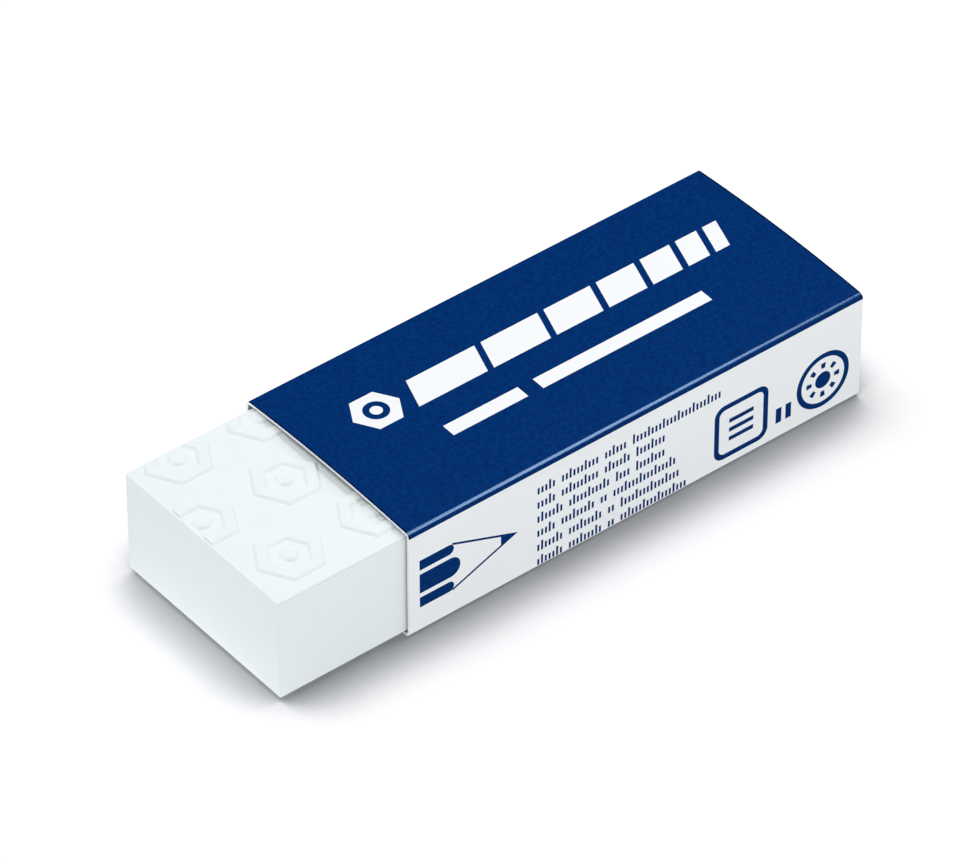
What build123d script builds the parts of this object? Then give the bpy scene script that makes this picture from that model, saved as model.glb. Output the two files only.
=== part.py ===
from build123d import *
import os

# A block eraser in a folded card sleeve, in millimetres.
# X runs along the block, with its bare end at -X. Y runs across it, and Z is up.
# The origin is the middle of the whole footprint, on the surface that the sleeve lies on.

# Block
block_length = 68.6
block_width = 23.0
block_height = 11.5
block_edge_radius = 0.22

# Relief on the block's top: the end of a hexagonal pencil, over and over
motif_across_flats = 6.4
motif_rim = 1.2
motif_core_radius = 1.0
relief_height = 0.18
relief_slope = 58.0  # degrees that the relief's walls lean from upright
motif_start = 4.9  # from the bare end to the first row's first motif
motif_pitch = 9.5  # along the block
motif_shift = 6.0  # how far along every second row is moved
motif_first_row = 4.7  # from the -Y side to the first row
motif_row_pitch = 8.4  # across the block
relief_border = 0.3  # bare rim round the whole pattern, which cuts the motifs that run past it

# Sleeve, folded from one strip of card
sleeve_length = 54.4
card = 0.3
fold_radius = 0.25  # inside the top folds
base_fold_radius = 0.45  # inside the bottom folds
crown = 0.45  # how far the top panel bows up between its folds
flap_short = 0.9  # from the glue flap's cut edge up to the top panel
seam_lift = 0.15  # from the surface up to the +Y panel's cut edge

# Fits between the block and the sleeve
end_recess = 0.3  # the block's far end, in from the sleeve's far edge
front_gap = 0.25  # at the -Y panel
back_gap = 0.1  # at the glue flap
base_gap = 0.25  # over the bottom panel
top_gap = 0.02  # between the relief and the level of the top folds

# Worked out from the sizes above
bare_length = block_length + end_recess - sleeve_length
object_length = bare_length + sleeve_length
bare_end_x = -object_length / 2
mouth_x = bare_end_x + bare_length
sleeve_width = card + front_gap + block_width + back_gap + 2 * card
block_y = -sleeve_width / 2 + card + front_gap + block_width / 2
block_base = card + base_gap
block_top = block_base + block_height
fold_top = block_top + relief_height + top_gap + card
flap_top = fold_top - card - flap_short


def block_body():
    """The bare block, with every edge slightly rounded."""
    centre = (bare_end_x + block_length / 2, block_y, block_base + block_height / 2)
    body = Pos(*centre) * Box(block_length, block_width, block_height)
    return fillet(body.edges(), block_edge_radius)


def motif():
    """A hexagonal rim round a core, with leaning walls, on z = 0."""
    outer_radius = motif_across_flats / 2
    inner_radius = outer_radius - motif_rim
    lid = Plane.XY.offset(relief_height)
    rim = extrude(RegularPolygon(outer_radius, 6, major_radius=False), relief_height, taper=relief_slope)
    hollow_top = RegularPolygon(inner_radius, 6, major_radius=False)
    hollow = extrude(lid * hollow_top, -relief_height, taper=relief_slope)
    core = extrude(Circle(motif_core_radius), relief_height, taper=relief_slope)
    return rim - hollow + core


def motif_places():
    """Centres of the motifs, in staggered rows with every centre on the block."""
    rows = int((block_width - motif_first_row) / motif_row_pitch) + 1
    first_y = block_y - block_width / 2 + motif_first_row
    places = []
    for row in range(rows):
        start = (motif_start + row % 2 * motif_shift) % motif_pitch
        in_row = int((block_length - start) / motif_pitch) + 1
        for column in range(in_row):
            x = bare_end_x + start + column * motif_pitch
            places.append(Location((x, first_y + row * motif_row_pitch, block_top)))
    return places


def eraser_block():
    """The block with its raised motifs, which stop at the pattern's border."""
    one_motif = motif()
    pattern_length = block_length - 2 * relief_border
    pattern_width = block_width - 2 * relief_border
    pattern_centre = (bare_end_x + block_length / 2, block_y, block_top + relief_height / 2)
    pattern_room = Pos(*pattern_centre) * Box(pattern_length, pattern_width, relief_height)
    body = block_body()
    for place in motif_places():
        body += (place * one_motif) & pattern_room
    return body


def tube_outline(left, right, bottom, top, growth):
    """A box section with a bowed top and round folds, this much larger than the card's inner face."""
    sides = Polyline((left, top), (left, bottom), (right, bottom), (right, top))
    bow = ThreePointArc((right, top), ((left + right) / 2, top + crown), (left, top))
    outline = make_face(sides + bow)
    corners = outline.vertices().group_by(Axis.Y)
    outline = fillet(corners[0], base_fold_radius + growth)
    upper_corners = outline.vertices().sort_by(Axis.Y)[-2:]
    return fillet(upper_corners, fold_radius + growth)


def wall(right):
    """The card of a tube from the -Y panel to a +Y panel whose outer face is at right."""
    left = -sleeve_width / 2
    outside = tube_outline(left, right, 0, fold_top, card)
    inside = tube_outline(left + card, right - card, card, fold_top - card, 0)
    return outside - inside


def region(left, right, bottom, top):
    """A plain rectangle between these four sides."""
    return Pos((left + right) / 2, (bottom + top) / 2) * Rectangle(right - left, top - bottom)


def sleeve_section():
    """The folded strip, seen from its end, from the +Y panel's cut edge round to the glue flap."""
    back = sleeve_width / 2
    corner = base_fold_radius + 3 * card
    wrap = wall(back) - region(back - corner, back, 0, corner)
    cut_edge = region(back - card, back, seam_lift, corner)
    flap = wall(back - card) & region(back - corner, back, 0, flap_top)
    return wrap + cut_edge + flap


def card_sleeve():
    """The sleeve, from its mouth to its far edge."""
    return extrude(Plane.YZ.offset(mouth_x) * sleeve_section(), sleeve_length)


os.makedirs("parts", exist_ok=True)
export_step(eraser_block(), "parts/eraser_block.step")
export_step(card_sleeve(), "parts/card_sleeve.step")
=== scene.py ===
import math

import bmesh
import bpy
from mathutils import Matrix, Vector, noise


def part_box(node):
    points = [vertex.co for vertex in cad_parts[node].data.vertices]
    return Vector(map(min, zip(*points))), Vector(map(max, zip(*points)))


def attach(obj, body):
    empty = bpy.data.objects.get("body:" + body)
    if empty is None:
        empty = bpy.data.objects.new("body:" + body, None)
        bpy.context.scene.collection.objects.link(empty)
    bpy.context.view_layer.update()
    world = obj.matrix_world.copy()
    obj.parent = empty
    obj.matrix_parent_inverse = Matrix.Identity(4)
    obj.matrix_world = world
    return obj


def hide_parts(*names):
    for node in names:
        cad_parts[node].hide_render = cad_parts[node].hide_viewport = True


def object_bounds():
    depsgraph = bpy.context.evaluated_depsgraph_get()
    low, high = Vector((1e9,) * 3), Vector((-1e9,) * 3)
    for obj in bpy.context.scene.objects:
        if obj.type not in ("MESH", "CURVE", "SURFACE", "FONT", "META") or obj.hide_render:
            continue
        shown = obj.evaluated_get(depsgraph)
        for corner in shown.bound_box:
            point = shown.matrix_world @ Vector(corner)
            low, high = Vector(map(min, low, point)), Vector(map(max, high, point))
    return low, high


# A white block eraser in a folded, printed card sleeve. Lengths are in metres, apart from those of the
# print and the finishes, which are in millimetres.

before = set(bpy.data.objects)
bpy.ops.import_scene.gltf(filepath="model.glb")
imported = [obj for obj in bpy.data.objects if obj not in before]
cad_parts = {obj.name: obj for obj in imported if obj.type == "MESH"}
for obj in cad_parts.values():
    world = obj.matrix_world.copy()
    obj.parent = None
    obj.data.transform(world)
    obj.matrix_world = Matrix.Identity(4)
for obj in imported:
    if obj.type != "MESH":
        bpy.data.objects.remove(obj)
cad_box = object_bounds()
sleeve_low, sleeve_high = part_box("card_sleeve")

MM = 0.001
SHARP_ANGLE = math.radians(35)

# The sleeve's card, as it is cut and folded
CARD = 0.3 * MM
FOLD_RADIUS = 0.25 * MM  # inside the top folds
BASE_FOLD_RADIUS = 0.45 * MM  # inside the bottom folds
FOLD_STEPS = 10
CROWN = 0.43 * MM  # how far the top panel bows up
FLAP_SHORT = 0.9 * MM  # from the glue flap's cut edge up to the top panel
SEAM_LIFT = 0.15 * MM  # the cut edge of the +Y panel, above the bottom panel
GLUE = 0.01 * MM
PANEL_WAVE = 0.035 * MM  # how far a panel strays from flat
WAVE_LENGTH = 16 * MM
PANEL_LEAST = 2 * MM  # no panel is narrower, and no step of a fold is as wide
MESH_STEP = 1 * MM
FOLD_TOP = sleeve_high.z - CROWN
MOUTH = sleeve_low.x


def finished_mesh(bm, name):
    """An object from the bmesh, shaded smooth except across sharp edges."""
    bmesh.ops.recalc_face_normals(bm, faces=bm.faces)
    mesh = bpy.data.meshes.new(name)
    bm.to_mesh(mesh)
    bm.free()
    piece = bpy.data.objects.new(name, mesh)
    bpy.context.scene.collection.objects.link(piece)
    sharpen(mesh)
    return piece


def sharpen(mesh):
    """Smooth shading that breaks where two faces meet at more than the sharp angle."""
    mesh.shade_smooth()
    mesh.set_sharp_from_angle(angle=SHARP_ANGLE)


def with_modifiers_applied(piece):
    """The piece with its modifiers turned into mesh."""
    bpy.context.view_layer.update()
    shown = piece.evaluated_get(bpy.context.evaluated_depsgraph_get())
    piece.data = bpy.data.meshes.new_from_object(shown)
    piece.modifiers.clear()
    return piece


# ---------------------------------------------------------------- sleeve shape


def round_folds(bm, corners, radius):
    """Rounds the right-angled corners of a wire."""
    bmesh.ops.bevel(
        bm,
        geom=corners,
        offset=radius,
        affect="VERTICES",
        segments=FOLD_STEPS,
        profile=0.5,
        material=-1,
    )


def strip_section(bm):
    """The middle of the card at the mouth, from the cut edge round the block to the glue flap."""
    back = sleeve_high.y - CARD / 2
    front = sleeve_low.y + CARD / 2
    top = FOLD_TOP - CARD / 2
    bottom = sleeve_low.z + CARD / 2
    flap = back - CARD - GLUE
    corners = [
        (back, sleeve_low.z + SEAM_LIFT),
        (back, top),
        (front, top),
        (front, bottom),
        (flap, bottom),
        (flap, FOLD_TOP - CARD - FLAP_SHORT),
    ]
    verts = [bm.verts.new((MOUTH, y, z)) for y, z in corners]
    for start, end in zip(verts, verts[1:]):
        bm.edges.new((start, end))
    round_folds(bm, verts[1:3], FOLD_RADIUS + CARD / 2)
    round_folds(bm, verts[3:5], BASE_FOLD_RADIUS + CARD / 2)
    panels = [edge for edge in bm.edges if edge.calc_length() > PANEL_LEAST]
    for panel in panels:
        cuts = round(panel.calc_length() / MESH_STEP)
        bmesh.ops.subdivide_edges(bm, edges=[panel], cuts=cuts)


def bowed(bm):
    """Bows the top panel up between its folds and lets every panel stray a little from flat."""
    half = (sleeve_high.y - sleeve_low.y) / 2
    middle = (sleeve_high.z + sleeve_low.z) / 2
    for vert in bm.verts:
        across = vert.co.y / half
        sway = PANEL_WAVE * (1 + noise.noise(vert.co / WAVE_LENGTH)) / 2
        if vert.co.z > middle:
            vert.co.z += (CROWN - sway) * max(0.0, 1 - across * across)
        height = (vert.co.z - middle) / middle
        vert.co.y -= math.copysign(sway, across) * max(0.0, 1 - height * height)


def card_sleeve():
    """The folded strip, run along the block and given the card's thickness."""
    bm = bmesh.new()
    strip_section(bm)
    length = sleeve_high.x - sleeve_low.x
    run = bmesh.ops.extrude_edge_only(bm, edges=bm.edges)
    far_verts = [item for item in run["geom"] if isinstance(item, bmesh.types.BMVert)]
    bmesh.ops.translate(bm, verts=far_verts, vec=(length, 0, 0))
    along = [edge for edge in bm.edges if edge.calc_length() > length / 2]
    bmesh.ops.subdivide_edges(bm, edges=along, cuts=round(length / MESH_STEP))
    bowed(bm)
    piece = finished_mesh(bm, "printed_sleeve")
    for slot in (printed_card(), bare_card(), cut_card()):
        piece.data.materials.append(slot)
    thickness = piece.modifiers.new("card", "SOLIDIFY")
    thickness.thickness = CARD
    thickness.offset = 0
    thickness.use_even_offset = True
    thickness.material_offset = 1
    thickness.material_offset_rim = 2
    with_modifiers_applied(piece)
    sharpen(piece.data)
    return piece


# ---------------------------------------------------------------- shader maths


class Value:
    """A number that varies over a surface. Python's operators add the Math nodes."""

    def __init__(self, finish, socket):
        self.finish = finish
        self.socket = socket

    def __add__(self, other):
        return self.finish.math("ADD", self, other)

    def __sub__(self, other):
        return self.finish.math("SUBTRACT", self, other)

    def __rsub__(self, other):
        return self.finish.math("SUBTRACT", other, self)

    def __mul__(self, other):
        return self.finish.math("MULTIPLY", self, other)

    def __truediv__(self, other):
        return self.finish.math("DIVIDE", self, other)

    def __abs__(self):
        return self.finish.math("ABSOLUTE", self)

    def __lt__(self, other):
        return self.finish.math("LESS_THAN", self, other)

    def __gt__(self, other):
        return self.finish.math("GREATER_THAN", self, other)

    def __and__(self, other):
        return self.finish.math("MINIMUM", self, other)

    def __or__(self, other):
        return self.finish.math("MAXIMUM", self, other)

    __radd__ = __add__
    __rmul__ = __mul__


class Finish:
    """A material in the making: its surface shader and the nodes that feed it."""

    def __init__(self, name, **plain):
        self.material = bpy.data.materials.new(name)
        self.material.use_nodes = True
        self.tree = self.material.node_tree
        self.surface = self.tree.nodes["Principled BSDF"]
        for socket, value in plain.items():
            self.surface.inputs[socket.replace("_", " ")].default_value = value
        metres = self.node("ShaderNodeTexCoord").outputs["Object"]
        inputs = {"Vector": metres, "Scale": 1 / MM}
        self.place = self.node("ShaderNodeVectorMath", {"operation": "SCALE"}, inputs).outputs["Vector"]
        axes = self.node("ShaderNodeSeparateXYZ", {}, {"Vector": self.place}).outputs
        self.x, self.y, self.z = (Value(self, axis) for axis in axes)

    def node(self, kind, settings=None, inputs=None):
        """A node of this kind, with its settings made first and then its sockets filled or linked."""
        made = self.tree.nodes.new(kind)
        for setting, value in (settings or {}).items():
            if setting == "stops":
                self.set_stops(made.color_ramp, value)
            else:
                setattr(made, setting, value)
        for socket, value in (inputs or {}).items():
            self.feed(made.inputs[socket], value)
        return made

    def set_stops(self, ramp, stops):
        while len(ramp.elements) < len(stops):
            ramp.elements.new(1.0)
        for element, (position, shade) in zip(ramp.elements, stops):
            element.position = position
            element.color = (shade, shade, shade, 1)

    def feed(self, socket, value):
        """Links the socket or sets it. A colour given as three numbers is made opaque."""
        if isinstance(value, Value):
            value = value.socket
        if isinstance(value, bpy.types.NodeSocket):
            self.tree.links.new(value, socket)
        elif hasattr(value, "__len__") and len(value) < len(socket.default_value):
            socket.default_value = (*value, 1)
        else:
            socket.default_value = value

    def math(self, operation, *values):
        made = self.node("ShaderNodeMath", {"operation": operation}, dict(enumerate(values)))
        return Value(self, made.outputs[0])

    def fraction(self, value):
        """What is left of the value over its whole part."""
        return self.math("FRACT", value)

    def mix(self, factor, first, second):
        """The first colour where the factor is 0 and the second where it is 1."""
        settings = {"data_type": "RGBA"}
        inputs = {0: factor, 6: first, 7: second}
        return self.node("ShaderNodeMix", settings, inputs).outputs[2]

    def grain(self, per_mm, detail=2.0, stretch=(1, 1, 1)):
        """Cloudy noise from 0 to 1, with about this many blobs to the millimetre."""
        inputs = {0: self.place, 1: stretch}
        place = self.node("ShaderNodeVectorMath", {"operation": "MULTIPLY"}, inputs)
        inputs = {"Vector": place.outputs[0], "Scale": per_mm, "Detail": detail}
        return Value(self, self.node("ShaderNodeTexNoise", {}, inputs).outputs["Fac"])

    def ramp(self, value, *stops):
        made = self.node("ShaderNodeValToRGB", {"stops": stops}, {"Fac": value})
        return Value(self, made.outputs["Color"])

    def relief(self, height, depth):
        """Tilts the surface's normal as if the height stood this deep."""
        inputs = {"Height": height, "Distance": depth, "Strength": 1.0}
        bump = self.node("ShaderNodeBump", {}, inputs)
        self.set("Normal", bump.outputs["Normal"])

    def set(self, socket, value):
        self.feed(self.surface.inputs[socket], value)

    # Flat shapes, each 1 inside and 0 outside

    def bar(self, along, across, start, end, low, high):
        centre, half = (start + end) / 2, (end - start) / 2
        middle, rise = (low + high) / 2, (high - low) / 2
        return (abs(along - centre) < half) & (abs(across - middle) < rise)

    def disc(self, along, across, radius):
        return self.math("POWER", along, 2) + self.math("POWER", across, 2) < radius * radius

    def ring(self, along, across, outer, inner):
        """What the outer radius takes in and the inner one doesn't."""
        return self.disc(along, across, outer) & (1 - self.disc(along, across, inner))

    def hexagon(self, along, across, apothem):
        lean = math.radians(30)
        one = abs(across)
        two = abs(along * math.cos(lean) + across * math.sin(lean))
        three = abs(along * math.cos(lean) - across * math.sin(lean))
        return (one | two | three) < apothem

    def rounded(self, along, across, half, corner):
        """A square with rounded corners, centred where along and across are 0."""
        past_x = (abs(along) - (half - corner)) | 0.0
        past_y = (abs(across) - (half - corner)) | 0.0
        return self.disc(past_x, past_y, corner)


# ---------------------------------------------------------------- card finishes

NAVY = (0.0010, 0.036, 0.178)
NAVY_DEEP = (0.0004, 0.024, 0.132)
# Near-black navy: thicker ink plus painted shade at the card's edges and past the far fold.
NAVY_RIM_SHADED = (0.0002, 0.006, 0.045)
CARD_WHITE = (0.94, 0.955, 0.965)
CARD_WHITE_WARM = (0.93, 0.945, 0.95)
MARK_WHITE = (0.95, 0.96, 0.97)
# The bare card's grey is darkened with painted shade, so the gaps inside the sleeve look dark.
SHADED_CARD_BACK = (0.25, 0.25, 0.25)
SHADED_CARD_BACK_PALE = (0.38, 0.38, 0.375)
CARD_CORE = (0.93, 0.95, 0.97)
INK_WRAP_MM = 0.5  # the navy field runs this far down each side
INK_BASE_MM = 0.12  # and the one underneath this far up
INK_RIM_SHADE_MM = 0.16  # ink lies thicker this near to a cut edge and past the far fold, and painted shade darkens it there too
BADGES_UP_MM = 4.6  # the middles of both badges
PANEL_DEPTH_MM = 0.2  # the side print reaches this deep, which takes in all of the panel's face

# The print's places run along from the mouth, across from the middle and up from the bottom.


def top_marks(finish):
    """White marks on the top panel: a pencil's end, a row of leaning blocks and a slim broken line."""
    along = finish.x - MOUTH / MM
    across = finish.y
    u, v = along - 8.2, across - 3.1
    barrel, wood, lead = 2.35, 1.3, 0.62
    marks = finish.hexagon(u, v, barrel) & (1 - finish.disc(u, v, wood))
    marks = marks | finish.disc(u, v, lead)
    left, low, high, lean, gap = 11.6, 1.0, 4.7, 0.36, 0.75
    leaning = along - lean * (across - low)
    start = left
    for width in (8.1, 6.8, 5.6, 4.6, 3.6, 2.6, 1.7):
        marks = marks | finish.bar(leaning, across, start, start + width, low, high)
        start += width + gap
    line_low, line_high = -4.1, -2.5
    for start, end in ((left, 20.4), (22.2, 42.6)):
        marks = marks | finish.bar(along, across, start, end, line_low, line_high)
    return marks & (finish.z > sleeve_high.z / MM / 2)


def small_print(finish, along, up):
    """Rows of fine upright strokes in groups, like lines of words too small to read."""
    strokes_in_words = (
        (5, 10, 6, 24),
        (5, 10, 7, 8),
        (7, 11, 4, 8),
        (5, 9, 2, 17),
        (7, 9, 2, 16),
        (7, 9, 2, 18),
    )
    left, top, row_pitch = 15.0, 10.5, 1.74
    step, inked = 0.45, 0.55  # from one stroke to the next, and the share of that with ink
    space = 1.4  # after a word, in steps
    short_half, tall_half, tall_lift = 0.38, 0.58, 0.16
    tall_every, tall_share = 4, 0.2  # about one stroke in so many stands taller
    marks = None
    for row, words in enumerate(strokes_in_words):
        middle = top - (row + 0.5) * row_pitch
        short = abs(up - middle) < short_half
        tall = abs(up - middle - tall_lift) < tall_half
        start = left
        for strokes in words:
            place = (along - start) / step
            inside = (place > 0) & (place < strokes)
            stroke = inside & (finish.fraction(place) < inked)
            taller = finish.fraction((place + strokes) / tall_every) < tall_share
            word = stroke & (short | (tall & taller))
            marks = word if marks is None else marks | word
            start += (strokes + space) * step
    return marks


def pencil(finish, along, up):
    """A sharpened pencil from the side: facets with round ends, a cone in outline, a solid point."""
    left, shoulder, point, middle, half = 1.2, 5.2, 12.7, 6.0, 2.85
    line, line_lap, lead = 0.264, 0.2, 2.0
    rise = up - middle
    facets = None
    for place, half_height, past in ((2.25, 0.6, 0.0), (0.0, 1.15, 0.75), (-2.25, 0.6, 0.0)):
        round_from = shoulder - half_height + past
        low, high = place - half_height, place + half_height
        facet = finish.bar(along, rise, left, round_from, low, high)
        facet = facet | finish.disc(along - round_from, rise - place, half_height)
        facets = facet if facets is None else facets | facet
    slope = half / (point - shoulder)
    from_middle = abs(rise) + (along - shoulder) * slope
    cone = from_middle < half
    outline = cone & (from_middle > half - line) & (along > shoulder - line_lap)
    tip = cone & (along > point - lead)
    return facets | outline | tip


def square_badge(finish, along, up):
    """A rounded square frame with three short lines in it."""
    u, v = along - 39.6, up - BADGES_UP_MM
    border = finish.rounded(u, v, 3.3, 1.2) & (1 - finish.rounded(u, v, 2.7, 0.7))
    reach, half_line, line_pitch = 1.5, 0.25, 1.1
    lines = (abs(v) < half_line) | (abs(abs(v) - line_pitch) < half_line)
    return border | (lines & (abs(u) < reach))


def round_badge(finish, along, up):
    """A ring round a dot with short rays."""
    u, v = along - 49.7, up - BADGES_UP_MM
    ray_count, ray_edge = 8, 0.35
    turn = finish.math("ARCTAN2", v, u)
    rays = finish.ring(u, v, 2.05, 1.4) & (finish.math("COSINE", turn * ray_count) > ray_edge)
    return finish.ring(u, v, 3.25, 2.65) | rays | finish.disc(u, v, 0.95)


def side_marks(finish):
    """Navy marks on the long white panel."""
    along = finish.x - MOUTH / MM
    up = finish.z
    marks = small_print(finish, along, up) | pencil(finish, along, up)
    marks = marks | square_badge(finish, along, up) | round_badge(finish, along, up)
    low, high = 2.2, 4.0
    for start, end in ((43.9, 44.6), (45.1, 45.8)):
        marks = marks | finish.bar(along, up, start, end, low, high)
    return marks & (finish.y < sleeve_low.y / MM + PANEL_DEPTH_MM)


def ink_rim_and_painted_shade(finish):
    """The narrow border of the navy field, at both cut edges and down past the far fold, darkened by
    thicker ink and painted shade.
    """
    past_mouth = finish.x - MOUTH / MM
    to_far_edge = sleeve_high.x / MM - finish.x
    to_back = sleeve_high.y / MM - finish.y
    return (past_mouth < INK_RIM_SHADE_MM) | (to_far_edge < INK_RIM_SHADE_MM) | (to_back < INK_RIM_SHADE_MM)


def printed_card():
    """Coated card: a navy field on top and underneath, white sides, and the marks on both."""
    finish = Finish("printed_card", Specular_IOR_Level=1.0, Specular_Tint=(0.42, 0.68, 1.0, 1.0))
    navy_field = (finish.z > FOLD_TOP / MM - INK_WRAP_MM) | (finish.z < INK_BASE_MM)
    on_top = top_marks(finish)
    navy = (navy_field & (1 - on_top)) | side_marks(finish)
    mottle = finish.ramp(finish.grain(2.4, detail=3.0), (0.36, 0.0), (0.66, 1.0))
    ink = finish.mix(mottle, NAVY_DEEP, NAVY)
    # Thicker ink and painted shade darken the navy near the cut edges and past the far fold.
    ink = finish.mix(navy_field & ink_rim_and_painted_shade(finish), ink, NAVY_RIM_SHADED)
    paper = finish.mix(finish.grain(0.7, detail=3.0), CARD_WHITE_WARM, CARD_WHITE)
    paper = finish.mix(on_top, paper, MARK_WHITE)
    finish.set("Base Color", finish.mix(navy, paper, ink))
    fibres = finish.grain(7.0, detail=3.0, stretch=(0.35, 1, 1))
    waves = finish.grain(0.35, detail=1.0)
    finish.set("Roughness", 0.13 + fibres * 0.05)
    finish.relief(fibres + waves * 6, 0.003 * MM)
    return finish.material


def bare_card():
    """The uncoated back of the card inside the sleeve, its grey darkened as painted shade in the gaps.
    """
    finish = Finish("bare_card", Roughness=0.9)
    fibres = finish.grain(6.0, detail=5.0, stretch=(0.25, 1, 1))
    finish.set("Base Color", finish.mix(fibres, SHADED_CARD_BACK, SHADED_CARD_BACK_PALE))
    finish.relief(fibres, 0.02 * MM)
    return finish.material


def cut_card():
    """The card's pale core, where the blade went through."""
    finish = Finish("cut_card", Roughness=0.85)
    fibres = finish.grain(12.0, detail=4.0)
    finish.set("Base Color", finish.mix(fibres, CARD_WHITE, CARD_CORE))
    finish.relief(fibres, 0.015 * MM)
    return finish.material


# ---------------------------------------------------------------- block finish

VINYL = (0.845, 0.892, 0.900)
VINYL_SHADE = (0.828, 0.877, 0.886)


def white_vinyl():
    """Soft white vinyl with a faint bloom, moulded smooth and slightly translucent."""
    finish = Finish(
        "white_vinyl",
        Subsurface_Weight=0.1,
        Subsurface_Scale=0.4 * MM,
        Specular_IOR_Level=0.5,
    )
    bloom = finish.grain(0.35, detail=4.0)
    finish.set("Base Color", finish.mix(bloom, VINYL_SHADE, VINYL))
    pores = finish.grain(6.0, detail=3.0)
    ripples = finish.grain(1.1, detail=2.0)
    finish.set("Roughness", 0.3 + pores * 0.12 + bloom * 0.05)
    finish.relief(pores + ripples * 3, 0.004 * MM)
    return finish.material


# ---------------------------------------------------------------- studio

FLOOR_REACH = 3.0
FLOOR_WHITE = (0.97, 0.97, 0.97)
# The grey the camera sees in the floor where the painted shadow fades its glow out.
FLOOR_GREY = (0.36, 0.365, 0.385)
FLOOR_FILL = 0.78  # the glow the camera sees, which lifts the open floor to white and fades out close to the object as a painted shadow
FLOOR_PAINTED_GLOW = 0.84  # painted glow that the floor sends up the object's walls, strongest close to them
PAINTED_SHADE_REACH = 8 * MM  # how far from the object the floor's painted shadow reaches
ROOM_WHITE = (0.92, 0.97, 1.02, 1.0)
CONTACT = 0.01 * MM  # keeps the floor just clear of the panel that lies on it

AIM = Vector((-6.0, 0.0, 6.5)) * MM
CAMERA_AZIMUTH = math.radians(-38.81)
CAMERA_ELEVATION = math.radians(40.848)
CAMERA_DISTANCE = 0.6649
CAMERA_SIDEWAYS = 3.776 * MM
CAMERA_LIFT = 2.055 * MM
LENS_MM = 264.87


def floor():
    """A plain pale table top. The camera sees it glow white with a painted shadow near the object;
    other rays see it white, with a painted glow up the object's walls.
    """
    bm = bmesh.new()
    bmesh.ops.create_grid(bm, x_segments=1, y_segments=1, size=FLOOR_REACH)
    bmesh.ops.translate(bm, verts=bm.verts, vec=(0, 0, cad_box[0][2] - CONTACT))
    piece = finished_mesh(bm, "table_top")
    finish = Finish("table_top", Roughness=1.0, Specular_IOR_Level=0.0, Emission_Strength=1.0)
    hidden = finish.node("ShaderNodeAmbientOcclusion", {"samples": 16}, {"Distance": PAINTED_SHADE_REACH})
    openness = hidden.outputs["AO"]
    # Painted shadow: the glow the camera sees fades where the object hides the floor.
    painted_shadow_fade = finish.ramp(openness, (0.48, 0.08), (0.66, 0.40), (0.75, 0.63), (0.84, 0.86), (0.96, 1.0))
    # Painted glow for all but camera rays, brightest near the object, which lights its walls from
    # below.
    painted_wall_glow = finish.ramp(openness, (0.25, 0.0), (0.55, 1.0), (1.0, 0.72))
    seen = Value(finish, finish.node("ShaderNodeLightPath").outputs["Is Camera Ray"])
    finish.set("Base Color", finish.mix(seen, FLOOR_WHITE, FLOOR_GREY))
    finish.set("Emission Color", seen * painted_shadow_fade * FLOOR_FILL + (1 - seen) * painted_wall_glow * FLOOR_PAINTED_GLOW)
    piece.data.materials.append(finish.material)
    piece.visible_glossy = False
    return piece


def aimed(light, direction):
    """The light's holder, turned to shine from this direction, with its own Y axis across the block."""
    holder = bpy.data.objects.new(light.name, light)
    bpy.context.scene.collection.objects.link(holder)
    back = Vector(direction).normalized()
    along = Vector((0, 1, 0)).cross(back).normalized()
    holder.rotation_euler = Matrix((along, back.cross(along), back)).transposed().to_euler()
    return holder


def far_softbox(name, direction, spread, share):
    """A distant round light. Its share is how bright it makes a white surface that faces up."""
    light = bpy.data.lights.new(name, "SUN")
    light.angle = math.radians(spread)
    light.energy = share * math.pi / Vector(direction).normalized().z
    return aimed(light, direction)


def strip_light(name, direction, distance, width, length, share):
    """A long narrow softbox that lies across the block, with its share as above."""
    towards = Vector(direction).normalized()
    light = bpy.data.lights.new(name, "AREA")
    light.shape = "RECTANGLE"
    light.size, light.size_y = width, length
    light.energy = share * (math.pi * distance) ** 2 / towards.z
    holder = aimed(light, direction)
    holder.location = towards * distance
    return holder


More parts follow.
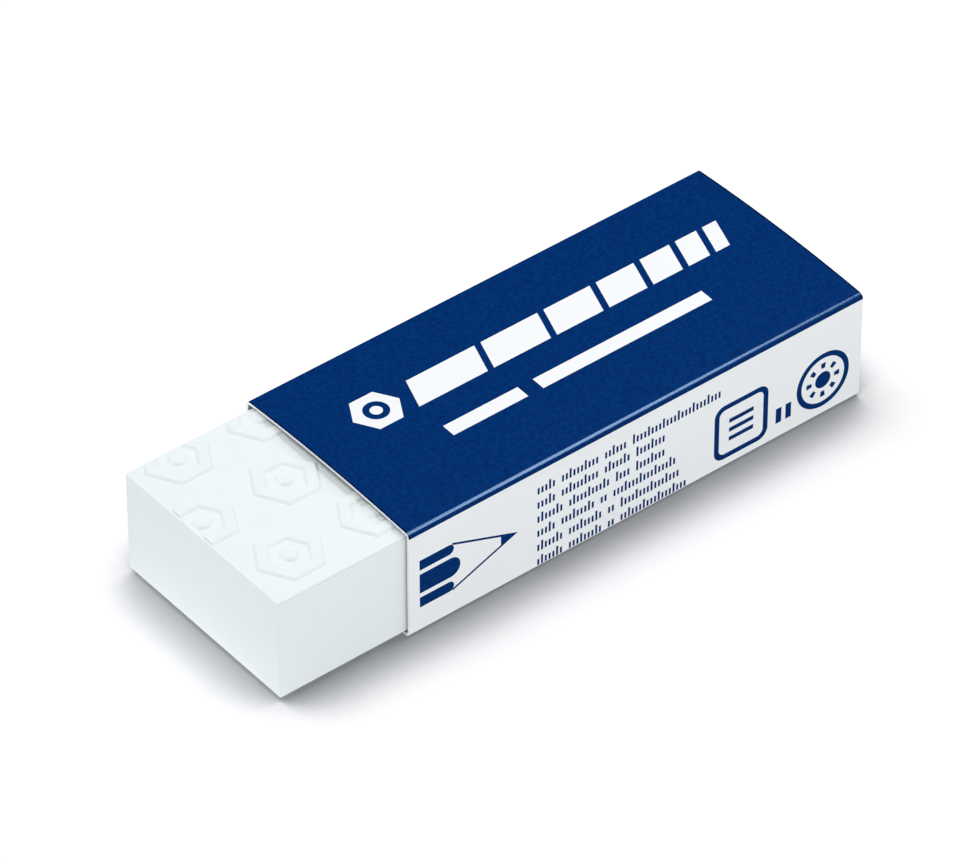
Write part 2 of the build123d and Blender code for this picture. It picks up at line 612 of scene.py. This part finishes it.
def miss_the_floor(holder, floor_piece):
    """Keeps a light, and its shadows, off the floor."""
    kept_dark = bpy.data.collections.new(holder.name + "_misses")
    kept_dark.objects.link(floor_piece)
    kept_dark.collection_objects[0].light_linking.link_state = "EXCLUDE"
    holder.light_linking.receiver_collection = kept_dark


def room_light(strength):
    """An even, faintly blue room, which lights the object but isn't mirrored in it."""
    world = bpy.data.worlds.new("studio")
    world.use_nodes = True
    world.node_tree.nodes["Background"].inputs["Color"].default_value = ROOM_WHITE
    world.node_tree.nodes["Background"].inputs["Strength"].default_value = strength
    world.cycles_visibility.glossy = False
    bpy.context.scene.world = world


def studio():
    """A strip for the near fold, one light past the far end, one behind, a low fill and the room."""
    table_top = floor()
    crease_light = strip_light(
        "crease_light",
        (0.475, -0.20, 0.857),
        distance=0.6,
        width=0.09,
        length=0.55,
        share=0.27,
    )
    far_end_light = far_softbox("far_end_light", (0.80, 0.15, 0.58), spread=30, share=0.12)
    for light in (crease_light, far_end_light):
        miss_the_floor(light, table_top)
    far_softbox("back_light", (-0.26, 0.51, 0.82), spread=36, share=0.45)
    far_softbox("corner_fill", (-0.42, -0.89, 0.22), spread=30, share=0.027)
    room_light(0.28)


def camera():
    """A long lens that looks down on the corner between the bare end and the printed side."""
    back = Vector((
        math.sin(CAMERA_AZIMUTH) * math.cos(CAMERA_ELEVATION),
        -math.cos(CAMERA_AZIMUTH) * math.cos(CAMERA_ELEVATION),
        math.sin(CAMERA_ELEVATION),
    ))
    aim = back.to_track_quat("Z", "Y")
    sideways = aim @ Vector((CAMERA_SIDEWAYS, CAMERA_LIFT, 0))
    lens = bpy.data.cameras.new("camera")
    lens.lens = LENS_MM
    lens.sensor_width = 36
    lens.clip_start = 0.01
    lens.clip_end = 20
    holder = bpy.data.objects.new("camera", lens)
    bpy.context.scene.collection.objects.link(holder)
    holder.location = AIM + back * CAMERA_DISTANCE + sideways
    holder.rotation_euler = aim.to_euler()
    bpy.context.scene.camera = holder


# ---------------------------------------------------------------- the eraser

sleeve = card_sleeve()
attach(sleeve, "sleeve")
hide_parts("card_sleeve")

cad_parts["eraser_block"].material_slots[0].material = white_vinyl()

studio()
camera()
bpy.context.scene.view_settings.view_transform = "Standard"
